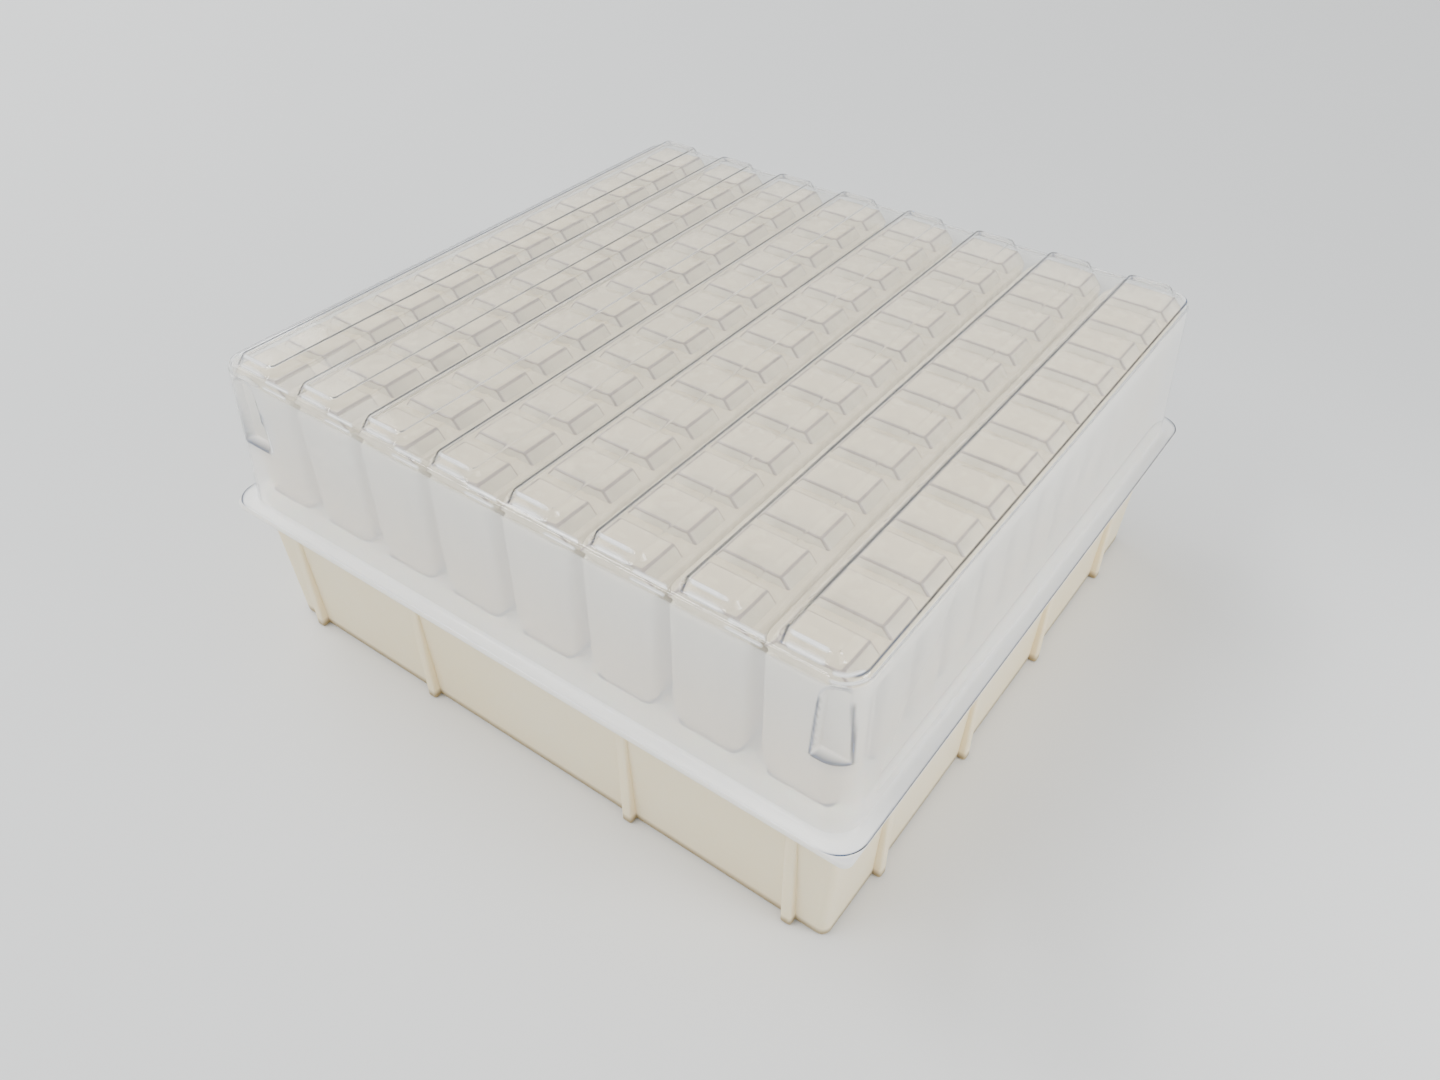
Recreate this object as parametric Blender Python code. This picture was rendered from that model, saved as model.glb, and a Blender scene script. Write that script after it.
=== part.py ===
"""Cryogenic storage box: tub, slotted rack, eight tube strips with cap strips, and a clear lid.

Frame: +Z up, origin at the middle of the footprint on the table. The eight strips lie side by side
along X, and each strip's twelve tubes run along Y. Sizes below are in millimetres.
"""
import bpy
import bmesh
from mathutils import Matrix, Vector

MM = 0.001
GAP = 0.3                      # air left between pieces that rest on each other

# Strips and tubes
ROWS = 8
COLUMNS = 12
ROW_PITCH = 16.0
COLUMN_PITCH = 10.18
TUBE_X = 13.4                  # outside width of a tube, along X
TUBE_Y = 7.3                   # outside depth of a tube, along Y
TUBE_WALL = 1.0
TUBE_BOTTOM_Z = 29.5
STRIP_X = 15.2                 # width of a strip's flange and of its cap rail
STRIP_CORNER_R = 3.0           # clears the rounded corners of the lid
STRIP_Y = (COLUMNS - 1) * COLUMN_PITCH + TUBE_Y
STRIP_TOP_Z = 54.9
STRIP_FLANGE = 1.0

# Cap strips
CAP_TOP_Z = 58.5
CAP_BLOCK_H = 1.8
CAP_RAIL_H = CAP_TOP_Z - CAP_BLOCK_H - STRIP_TOP_Z - GAP
CAP_TOP_X = 9.9                # flat top of a cap, narrower than its foot by the sloped shoulders
CAP_FOOT_X = 12.9
PLUG_H = 2.8

# Tub
TUB_WALL = 1.6
TUB_FLOOR = 1.8
TUB_FOOT_X, TUB_FOOT_Y = 126.2, 120.8
TUB_TOP_X, TUB_TOP_Y = 128.6, 123.2
TUB_CORNER_R = 1.6
LEDGE_X, LEDGE_Y = 135.4, 130.0
LEDGE_CORNER_R = 1.6
LEDGE_Z0, LEDGE_Z1 = 27.6, 29.0
RIB_W = 2.0
RIB_X, RIB_Y = 129.2, 123.8    # span over the upright outer faces of opposite ribs
FRONT_RIBS = (-56.5, -24.0, 24.0, 56.5)
SIDE_RIBS = (-45.0, -15.0, 15.0, 45.0)

# Rack plate
RACK_X, RACK_Y = 128.8, 123.4
RACK_CORNER_R = 4.0
RACK_Z0 = LEDGE_Z1 + GAP
RACK_TOP_Z = 31.9
SLOT_CLEARANCE = 0.35
TAB_W, TAB_T, TAB_H = 1.7, 1.2, 6.0

# Lid
LID_SKIN = 0.5
LID_TOP_X, LID_TOP_Y = 128.6, 123.2
LID_FOOT_X, LID_FOOT_Y = 131.5, 126.1
LID_CORNER_R = 4.5
LID_EDGE_R = 1.0
VALLEY_Z = 59.4
RIDGE_Z = 61.0
RIDGE_TOP_X = 7.8
RIDGE_FLANK = 1.2              # run of a ridge's sloped side, over its whole height
RIDGE_Y = 120.4                # length of a ridge at its foot
FLANGE_X, FLANGE_Y = 136.3, 130.9
FLANGE_CORNER_R = 5.0
FLANGE_Z0 = LEDGE_Z1 + GAP
FLANGE_T = 0.5
FRONT_DENTS = (-58.0, 62.2)    # X of the front wall's stacking dents; the back has them turned half round
DENT_W = 5.8
DENT_Z0, DENT_Z1 = 44.2, 57.4
DENT_BACK_Y = 60.55            # how far out the bottom of a dent lies


def row_x(row):
    """Middle of a strip along X; row 0 is at -X."""
    return (row - (ROWS - 1) / 2) * ROW_PITCH


def column_y(column):
    """Middle of a tube along Y; column 0 is at -Y."""
    return (column - (COLUMNS - 1) / 2) * COLUMN_PITCH


def clear_scene():
    for obj in list(bpy.data.objects):
        bpy.data.objects.remove(obj, do_unlink=True)


def collection(name):
    coll = bpy.data.collections.new(name)
    bpy.context.scene.collection.children.link(coll)
    return coll


def material(name, color, roughness, alpha=1.0):
    mat = bpy.data.materials.new(name)
    mat.use_nodes = True
    shader = mat.node_tree.nodes["Principled BSDF"]
    shader.inputs["Base Color"].default_value = (*color, 1.0)
    shader.inputs["Roughness"].default_value = roughness
    shader.inputs["Metallic"].default_value = 0.0
    shader.inputs["Alpha"].default_value = alpha
    mat.diffuse_color = (*color, alpha)
    return mat


def add_block(bm, center, bottom, top, z0, z1, corner_r=0.0, corner_segments=4):
    """Add a box to bm whose bottom and top may differ in size, with its upright corners rounded."""
    verts = bmesh.ops.create_cube(bm, size=1.0)["verts"]
    for v in verts:
        size = top if v.co.z > 0 else bottom
        z = z1 if v.co.z > 0 else z0
        v.co = Vector((center[0] + size[0] * v.co.x, center[1] + size[1] * v.co.y, z)) * MM
    if corner_r > 0.0:
        edges = {e for v in verts for e in v.link_edges}
        upright = [e for e in edges if abs(e.verts[0].co.z - e.verts[1].co.z) > 1e-6]
        bmesh.ops.bevel(bm, geom=upright, offset=corner_r * MM, segments=corner_segments,
                        profile=0.5, affect="EDGES", clamp_overlap=True)


def add_u_block(bm, center, size, z0, z1, bottom_r, segments):
    """Add a box to bm whose two lower edges along Y are rounded, which gives a U in the XZ plane."""
    verts = bmesh.ops.create_cube(bm, size=1.0)["verts"]
    for v in verts:
        z = z1 if v.co.z > 0 else z0
        v.co = Vector((center[0] + size[0] * v.co.x, center[1] + size[1] * v.co.y, z)) * MM
    edges = {e for v in verts for e in v.link_edges}
    lower = [e for e in edges
             if all(abs(v.co.z - z0 * MM) < 1e-7 for v in e.verts)
             and abs(e.verts[0].co.y - e.verts[1].co.y) > 1e-6]
    bmesh.ops.bevel(bm, geom=lower, offset=bottom_r * MM, segments=segments,
                    profile=0.5, affect="EDGES", clamp_overlap=True)


def mesh_object(name, bm, coll):
    mesh = bpy.data.meshes.new(name)
    bm.to_mesh(mesh)
    bm.free()
    obj = bpy.data.objects.new(name, mesh)
    coll.objects.link(obj)
    return obj


def blocks_object(name, coll, blocks):
    """One object from a list of keyword sets for add_block."""
    bm = bmesh.new()
    for block in blocks:
        add_block(bm, **block)
    return mesh_object(name, bm, coll)


def combine(name, base, steps, coll, mat):
    """Run Boolean steps [(operation, operand), ...] on base and keep the result as a plain mesh."""
    for operation, operand in steps:
        boolean = base.modifiers.new(operation.lower(), "BOOLEAN")
        boolean.operation = operation
        boolean.object = operand
        boolean.solver = "EXACT"
    graph = bpy.context.evaluated_depsgraph_get()
    graph.update()
    mesh = bpy.data.meshes.new_from_object(base.evaluated_get(graph))
    mesh.name = name
    for obj in [base] + [operand for _, operand in steps]:
        bpy.data.objects.remove(obj, do_unlink=True)
    return place(name, mesh, coll, mat)


def place(name, mesh, coll, mat, location=(0.0, 0.0, 0.0)):
    mesh.materials.clear()
    mesh.materials.append(mat)
    obj = bpy.data.objects.new(name, mesh)
    obj.location = Vector(location) * MM
    coll.objects.link(obj)
    mesh.shade_smooth()
    mesh.set_sharp_from_angle(angle=0.6)
    return obj


def build_tub(coll, tools, mat):
    """Open tub with a thin ledge round its top and upright ribs on its outer walls."""
    wall = blocks_object("tub_wall", tools, [dict(
        center=(0, 0), bottom=(TUB_FOOT_X, TUB_FOOT_Y), top=(TUB_TOP_X, TUB_TOP_Y),
        z0=0.0, z1=LEDGE_Z1, corner_r=TUB_CORNER_R)])
    ledge = blocks_object("tub_ledge", tools, [dict(
        center=(0, 0), bottom=(LEDGE_X, LEDGE_Y), top=(LEDGE_X, LEDGE_Y),
        z0=LEDGE_Z0, z1=LEDGE_Z1, corner_r=LEDGE_CORNER_R, corner_segments=3)])
    rib_top = LEDGE_Z0 + 0.5
    ribs = []
    for x in FRONT_RIBS:
        for side in (-1, 1):
            ribs.append(dict(center=(x, side * (RIB_Y / 2 - 1.6)), bottom=(RIB_W, 3.2),
                             top=(RIB_W, 3.2), z0=0.0, z1=rib_top))
    for y in SIDE_RIBS:
        for side in (-1, 1):
            ribs.append(dict(center=(side * (RIB_X / 2 - 1.6), y), bottom=(3.2, RIB_W),
                             top=(3.2, RIB_W), z0=0.0, z1=rib_top))
    ribs = blocks_object("tub_ribs", tools, ribs)
    slope = (TUB_TOP_X - TUB_FOOT_X) / LEDGE_Z1
    over = 1.0
    hollow = blocks_object("tub_hollow", tools, [dict(
        center=(0, 0),
        bottom=(TUB_FOOT_X - 2 * TUB_WALL + slope * TUB_FLOOR,
                TUB_FOOT_Y - 2 * TUB_WALL + slope * TUB_FLOOR),
        top=(TUB_TOP_X - 2 * TUB_WALL + slope * over, TUB_TOP_Y - 2 * TUB_WALL + slope * over),
        z0=TUB_FLOOR, z1=LEDGE_Z1 + over, corner_r=TUB_CORNER_R - TUB_WALL + 1.0)])
    return combine("base_tub", wall, [("UNION", ledge), ("UNION", ribs), ("DIFFERENCE", hollow)],
                   coll, mat)


def slot_half_x():
    """Half length of a slot: the tube's round bottom stands in it as deep as the plate allows."""
    radius = TUBE_X / 2
    drop = TUBE_BOTTOM_Z + radius - RACK_TOP_Z
    return (radius ** 2 - drop ** 2) ** 0.5 + SLOT_CLEARANCE


def build_rack(coll, tools, mat):
    """Plate on the tub's rim with a slot for every tube and tabs that hold it inside the tub."""
    plate = blocks_object("rack_plate_blank", tools, [dict(
        center=(0, 0), bottom=(RACK_X, RACK_Y), top=(RACK_X, RACK_Y),
        z0=RACK_Z0, z1=RACK_TOP_Z, corner_r=RACK_CORNER_R)])
    inner_x = TUB_TOP_X / 2 - TUB_WALL - 0.5 - TAB_T / 2
    inner_y = TUB_TOP_Y / 2 - TUB_WALL - 0.5 - TAB_T / 2
    tabs = []
    for side in (-1, 1):
        for y in (-4 * COLUMN_PITCH, 0.0, 4 * COLUMN_PITCH):
            tabs.append(dict(center=(side * inner_x, y), bottom=(TAB_T, TAB_W), top=(TAB_T, TAB_W),
                             z0=RACK_Z0 - TAB_H, z1=RACK_Z0 + 1.0))
        for x in (-3 * ROW_PITCH, 0.0, 3 * ROW_PITCH):
            tabs.append(dict(center=(x, side * inner_y), bottom=(TAB_W, TAB_T), top=(TAB_W, TAB_T),
                             z0=RACK_Z0 - TAB_H, z1=RACK_Z0 + 1.0))
    tabs = blocks_object("rack_tabs", tools, tabs)
    slot = (2 * slot_half_x(), TUBE_Y + 2 * SLOT_CLEARANCE)
    slots = blocks_object("rack_slots", tools, [
        dict(center=(row_x(r), column_y(c)), bottom=slot, top=slot,
             z0=RACK_Z0 - 0.6, z1=RACK_TOP_Z + 1.0)
        for r in range(ROWS) for c in range(COLUMNS)])
    return combine("rack_plate", plate, [("UNION", tabs), ("DIFFERENCE", slots)], coll, mat)


def build_tube_strips(coll, tools, mat):
    """Twelve U-bottomed tubes under one flange; every strip shares the first one's mesh."""
    flange = blocks_object("strip_flange", tools, [dict(
        center=(0, 0), bottom=(STRIP_X, STRIP_Y), top=(STRIP_X, STRIP_Y),
        z0=STRIP_TOP_Z - STRIP_FLANGE, z1=STRIP_TOP_Z, corner_r=STRIP_CORNER_R,
        corner_segments=3)])
    outside = bmesh.new()
    inside = bmesh.new()
    for c in range(COLUMNS):
        add_u_block(outside, (0, column_y(c)), (TUBE_X, TUBE_Y - 0.02), TUBE_BOTTOM_Z,
                    STRIP_TOP_Z - 0.4, TUBE_X / 2 - 0.1, 3)
        add_u_block(inside, (0, column_y(c)), (TUBE_X - 2 * TUBE_WALL, TUBE_Y - 2 * TUBE_WALL),
                    TUBE_BOTTOM_Z + TUBE_WALL, STRIP_TOP_Z + 1.0, TUBE_X / 2 - TUBE_WALL - 0.1, 2)
    tubes = mesh_object("strip_tubes", outside, tools)
    hollows = mesh_object("strip_hollows", inside, tools)
    first = combine("tube_strip_a", flange, [("UNION", tubes), ("DIFFERENCE", hollows)], coll, mat)
    copy_along_rows(first, "tube_strip_", coll, mat)


def build_cap_strips(coll, tools, mat):
    """Twelve raised caps with plugs on one rail; every strip shares the first one's mesh."""
    rail_z0 = STRIP_TOP_Z + GAP
    rail_z1 = rail_z0 + CAP_RAIL_H
    rail = blocks_object("cap_rail", tools, [dict(
        center=(0, 0), bottom=(STRIP_X, STRIP_Y), top=(STRIP_X, STRIP_Y), z0=rail_z0, z1=rail_z1,
        corner_r=STRIP_CORNER_R, corner_segments=3)])
    slope = (CAP_FOOT_X - CAP_TOP_X) / CAP_BLOCK_H
    sunk = 0.5
    block_y = TUBE_Y - 0.02
    plug = (TUBE_X - 2 * TUBE_WALL - 2 * GAP, TUBE_Y - 2 * TUBE_WALL - 2 * GAP)
    tops = blocks_object("cap_tops", tools, [
        dict(center=(0, column_y(c)), bottom=(CAP_FOOT_X + slope * sunk, block_y),
             top=(CAP_TOP_X, block_y), z0=rail_z1 - sunk, z1=CAP_TOP_Z)
        for c in range(COLUMNS)])
    plugs = blocks_object("cap_plugs", tools, [
        dict(center=(0, column_y(c)), bottom=plug, top=plug, z0=rail_z0 - PLUG_H, z1=rail_z0 + 0.5)
        for c in range(COLUMNS)])
    first = combine("cap_strip_a", rail, [("UNION", tops), ("UNION", plugs)], coll, mat)
    copy_along_rows(first, "cap_strip_", coll, mat)


def copy_along_rows(first, prefix, coll, mat):
    """Put the first strip in row 0 and a copy of it in each other row, lettered a to h."""
    first.location.x = row_x(0) * MM
    for row in range(1, ROWS):
        place(prefix + "abcdefgh"[row], first.data, coll, mat, (row_x(row), 0.0, 0.0))


def lid_form(name, tools, inset, floor_z):
    """Solid form of the lid's outside (inset 0) or inside (inset of one skin), without the flange."""
    bm = bmesh.new()
    drop = inset
    slope = (LID_FOOT_X - LID_TOP_X) / (VALLEY_Z - FLANGE_Z0)
    reach = slope * (FLANGE_Z0 - floor_z + drop)
    add_block(bm, (0, 0), (LID_FOOT_X - 2 * inset + reach, LID_FOOT_Y - 2 * inset + reach),
              (LID_TOP_X - 2 * inset, LID_TOP_Y - 2 * inset), floor_z, VALLEY_Z - drop,
              corner_r=LID_CORNER_R - inset, corner_segments=5)
    rim = [e for e in bm.edges if all(abs(v.co.z - (VALLEY_Z - drop) * MM) < 1e-7 for v in e.verts)]
    bmesh.ops.bevel(bm, geom=rim, offset=(LID_EDGE_R - inset / 2) * MM, segments=2, profile=0.5,
                    affect="EDGES", clamp_overlap=True)
    body = mesh_object(name, bm, tools)
    run = RIDGE_FLANK / (RIDGE_Z - VALLEY_Z)
    sunk = 0.6
    top = (RIDGE_TOP_X - 2 * inset + run * inset, RIDGE_Y - 2 * RIDGE_FLANK - 2 * inset + run * inset)
    height = RIDGE_Z - VALLEY_Z + sunk
    foot = (top[0] + 2 * run * height, top[1] + 2 * run * height)
    ridges = blocks_object(name + "_ridges", tools, [
        dict(center=(row_x(r), 0), bottom=foot, top=top, z0=VALLEY_Z - sunk - drop,
             z1=RIDGE_Z - drop)
        for r in range(ROWS)])
    dents = []
    for x in FRONT_DENTS:
        for side in (-1, 1):
            deep = 8.0
            y = side * (DENT_BACK_Y - inset + deep / 2)
            dents.append(dict(center=(-side * x, y), bottom=(DENT_W + 2 * inset, deep),
                              top=(DENT_W - 0.8 + 2 * inset, deep),
                              z0=DENT_Z0 - inset, z1=DENT_Z1 + inset, corner_r=1.2 + inset,
                              corner_segments=3))
    dents = blocks_object(name + "_dents", tools, dents)
    return body, ridges, dents


def build_lid(coll, tools, mat):
    """Thin formed lid: drafted walls, a ridge over every strip, stacking dents and a flat flange."""
    outer, outer_ridges, outer_dents = lid_form("lid_outer", tools, 0.0, FLANGE_Z0)
    inner, inner_ridges, inner_dents = lid_form("lid_inner", tools, LID_SKIN, FLANGE_Z0 - 1.0)
    core = combine("lid_core", inner, [("UNION", inner_ridges), ("DIFFERENCE", inner_dents)],
                   tools, mat)
    flange = blocks_object("lid_flange", tools, [dict(
        center=(0, 0), bottom=(FLANGE_X, FLANGE_Y), top=(FLANGE_X, FLANGE_Y),
        z0=FLANGE_Z0, z1=FLANGE_Z0 + FLANGE_T, corner_r=FLANGE_CORNER_R, corner_segments=5)])
    return combine("clear_lid", outer,
                   [("UNION", outer_ridges), ("DIFFERENCE", outer_dents), ("UNION", flange),
                    ("DIFFERENCE", core)], coll, mat)


def main():
    clear_scene()
    parts = collection("cryogenic_storage_box")
    tools = collection("construction")
    cream = material("cream_polypropylene", (0.63, 0.56, 0.47), 0.45)
    white = material("white_polypropylene", (0.68, 0.63, 0.56), 0.5)
    milky = material("milky_polypropylene", (0.70, 0.65, 0.58), 0.4)
    caps = material("milky_caps", (0.72, 0.67, 0.60), 0.4)
    clear = material("clear_sheet", (0.86, 0.90, 0.93), 0.08, alpha=0.3)
    build_tub(parts, tools, cream)
    build_rack(parts, tools, white)
    build_tube_strips(parts, tools, milky)
    build_cap_strips(parts, tools, caps)
    build_lid(parts, tools, clear)


main()
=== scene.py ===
"""Looks of the cryogenic storage box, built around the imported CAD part.

Everything ends up in metres in the CAD's frame: +Z up, strips side by side along X, tubes along Y.
The sizes of the pieces are in millimetres and are turned into metres where a mesh is made. Lengths in
the materials, the lights and the camera are in metres. Angles are in degrees.
"""

import math

import bmesh
import bpy
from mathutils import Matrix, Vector


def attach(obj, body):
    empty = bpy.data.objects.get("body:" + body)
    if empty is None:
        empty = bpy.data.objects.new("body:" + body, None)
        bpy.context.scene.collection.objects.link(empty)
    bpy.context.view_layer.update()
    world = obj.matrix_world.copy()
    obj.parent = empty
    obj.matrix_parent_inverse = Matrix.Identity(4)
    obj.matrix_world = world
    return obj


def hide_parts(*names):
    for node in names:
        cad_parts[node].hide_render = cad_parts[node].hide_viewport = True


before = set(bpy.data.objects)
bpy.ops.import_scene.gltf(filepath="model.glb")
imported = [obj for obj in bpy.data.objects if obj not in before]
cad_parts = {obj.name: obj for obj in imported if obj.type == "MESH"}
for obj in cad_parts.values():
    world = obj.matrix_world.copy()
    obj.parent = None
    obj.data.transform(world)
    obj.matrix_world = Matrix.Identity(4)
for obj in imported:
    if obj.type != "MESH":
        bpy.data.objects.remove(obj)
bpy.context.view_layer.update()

MM = 0.001
ROW_LETTERS = "abcdefgh"
ROWS = 8
COLUMNS = 12
ROW_PITCH = 16.0
COLUMN_PITCH = 10.18

TUBE_X, TUBE_Y = 13.4, 7.3
TUBE_WALL = 1.0
TUBE_BOTTOM_Z = 29.5
STRIP_X = 15.2
STRIP_Y = (COLUMNS - 1) * COLUMN_PITCH + TUBE_Y
STRIP_CORNER_R = 3.0
STRIP_TOP_Z = 54.9
STRIP_FLANGE = 1.0
CAP_TOP_Z = 58.5
CAP_BLOCK_H = 1.8
CAP_TOP_X, CAP_FOOT_X = 9.9, 12.9
PLUG_H = 2.8
CAP_EDGE_R, CAP_EDGE_SEGMENTS = 0.34, 2
PLUG_TAPER_X, PLUG_TAPER_Y = 0.6, 0.4
GAP = 0.3                        # between pieces that touch on the real box
OVERLAP = 0.5                    # how far joined shapes reach into each other before a union

TUB_FOOT_X, TUB_FOOT_Y = 126.2, 120.8
TUB_TOP_X, TUB_TOP_Y = 128.6, 123.2
TUB_CORNER_R = 1.6
TUB_WALL = 1.6
TUB_FLOOR = 1.8
LEDGE_X, LEDGE_Y = 135.4, 130.0
LEDGE_CORNER_R = 1.6
LEDGE_Z0, LEDGE_Z1 = 27.6, 29.0
RIB_W, RIB_DEPTH = 2.0, 3.2
RIB_X, RIB_Y = 129.2, 123.8
FRONT_RIBS = (-56.5, -24.0, 24.0, 56.5)
SIDE_RIBS = (-45.0, -15.0, 15.0, 45.0)

RACK_X, RACK_Y = 128.8, 123.4
RACK_CORNER_R = 4.0
RACK_Z0, RACK_TOP_Z = 29.3, 31.9
SLOT_X, SLOT_Y = 11.0, 8.0
TAB_W, TAB_T, TAB_H = 1.7, 1.2, 6.0
TAB_CLEARANCE = 0.5
TAB_COLUMNS, TAB_ROWS = (-4, 0, 4), (-3, 0, 3)

LID_SKIN = 0.5
VALLEY_Z, RIDGE_Z = 59.4, 61.0
LID_TOP_X, LID_TOP_Y = 128.6, 123.2
LID_SLOPE = 1.45 / 29.6
LID_CORNER_R = 4.6
LID_EDGE_R = 1.5
RIDGE_HALF_X, RIDGE_HALF_Y = 4.55, 59.6
RIDGE_RAMP = 1.5
RIDGE_CORNER_R = 1.5
FLANGE_X, FLANGE_Y = 136.3, 130.9
FLANGE_CORNER_R = 5.0
FLANGE_TOP_Z = 29.8
ROOT_R = 0.7
FRONT_DENTS = (-58.0, 62.2)
DENT_HALF_W = 2.9
DENT_Z0, DENT_Z1 = 44.2, 57.2
DENT_BACK_Y = 60.4
CORNER_DENT_X = 60.0             # a dent centred further out than this runs on round the corner
CORNER_STEPS, FILLET_STEPS, SIDE_STEPS = 16, 8, 24
TOP_HAZE, WALL_HAZE, FLANGE_HAZE = 0.03, 0.32, 0.50

EDGE_SEGMENTS = 3
# the cap's softened edges take a dark material: painted shade lines along them
EDGE_SHADE_SLOT = 1                    # a cap's second material slot, for its softened edges
SHARP_ANGLE, LID_SHARP_ANGLE = 32, 60

# heights of the painted light on the tub's rim and of the painted shadow at its foot
TUB_RIM_LIGHT_HEIGHTS = (0.0270, 0.0278)
TUB_FOOT_SHADOW_HEIGHTS = (0.0007, 0.0020)
TUBE_BOUNCE_LIGHT_HEIGHTS = (0.036, 0.050)
BENCH_HALF_SIZE, BENCH_DROP = 8.0, 0.00005
ROOM_COLOR = (0.95, 0.975, 1.0)
ROOM_AT_HORIZON, ROOM_OVERHEAD = 1.12, 0.60
CAMERA_PLACE = (0.1065, -0.1472, 0.1638)
CAMERA_AZIMUTH, CAMERA_ELEVATION = 36.3, 40.5
CAMERA_LENS, SENSOR_WIDTH = 28.6, 36.0


def row_x(row):
    return (row - (ROWS - 1) / 2) * ROW_PITCH


def column_y(column):
    return (column - (COLUMNS - 1) / 2) * COLUMN_PITCH


def smooth(t):
    """0 below 0, 1 above 1, and a soft step between."""
    t = min(1.0, max(0.0, t))
    return t * t * (3.0 - 2.0 * t)


def band(distance, half_width, softness):
    """1 on a line, and 0 from half_width away, with a soft edge of the width softness before that."""
    return smooth((half_width - abs(distance)) / softness)


def from_row_middle(x):
    """Signed distance along X from the middle of the nearest row."""
    row = min(ROWS - 1, max(0, round(x / ROW_PITCH + (ROWS - 1) / 2)))
    return x - row_x(row)


def inset(inside_a, inside_b, r):
    """Distance inside a rectangle with corner radius r, from the distances to its nearest sides."""
    if inside_a < r and inside_b < r:
        return r - math.hypot(r - inside_a, r - inside_b)
    return min(inside_a, inside_b)


# ---------------------------------------------------------------- mesh helpers

def new_object(name, bm, materials=()):
    mesh = bpy.data.meshes.new(name)
    bm.to_mesh(mesh)
    bm.free()
    obj = bpy.data.objects.new(name, mesh)
    bpy.context.scene.collection.objects.link(obj)
    for mat in materials:
        mesh.materials.append(mat)
    return obj


def scaled_cube(bm, center, bottom, top, z0, z1):
    """A cube in bm, in metres, whose bottom and top may differ in size."""
    for v in bmesh.ops.create_cube(bm, size=1.0)["verts"]:
        size = top if v.co.z > 0 else bottom
        z = z1 if v.co.z > 0 else z0
        v.co = Vector((center[0] + size[0] * v.co.x, center[1] + size[1] * v.co.y, z)) * MM


def is_upright(edge):
    return abs(edge.verts[0].co.z - edge.verts[1].co.z) > 1e-6


def bevel(bm, edges, radius, segments, material=-1):
    bmesh.ops.bevel(bm, geom=edges, offset=radius * MM, segments=segments, profile=0.5,
                    affect="EDGES", clamp_overlap=True, material=material)


def rounded_block(bm, center, bottom, top, z0, z1, corner_r, edge_r, segments):
    """A box with rounded upright corners and, after that, rounded upper and lower edges."""
    part = bmesh.new()
    scaled_cube(part, center, bottom, top, z0, z1)
    bevel(part, [e for e in part.edges if is_upright(e)], corner_r, segments)
    if edge_r:
        bevel(part, [e for e in part.edges if not is_upright(e)], edge_r, EDGE_SEGMENTS)
    append(bm, part)


def append(bm, part):
    """Add the mesh of part to bm and free part."""
    mesh = bpy.data.meshes.new("part")
    part.to_mesh(mesh)
    part.free()
    bm.from_mesh(mesh)
    bpy.data.meshes.remove(mesh)


def combine(name, base, steps):
    """Boolean steps [(operation, operand), ...] on base, kept as one plain mesh."""
    for operation, operand in steps:
        mod = base.modifiers.new(operation.lower(), "BOOLEAN")
        mod.operation = operation
        mod.object = operand
        mod.solver = "EXACT"
    graph = bpy.context.evaluated_depsgraph_get()
    graph.update()
    mesh = bpy.data.meshes.new_from_object(base.evaluated_get(graph))
    mesh.name = name
    for obj in [base] + [operand for _, operand in steps]:
        bpy.data.objects.remove(obj, do_unlink=True)
    obj = bpy.data.objects.new(name, mesh)
    bpy.context.scene.collection.objects.link(obj)
    mesh.shade_smooth()
    mesh.set_sharp_from_angle(angle=math.radians(SHARP_ANGLE))
    return obj


def use_only(obj, mat):
    obj.data.materials.clear()
    obj.data.materials.append(mat)


# ---------------------------------------------------------------- materials

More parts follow.
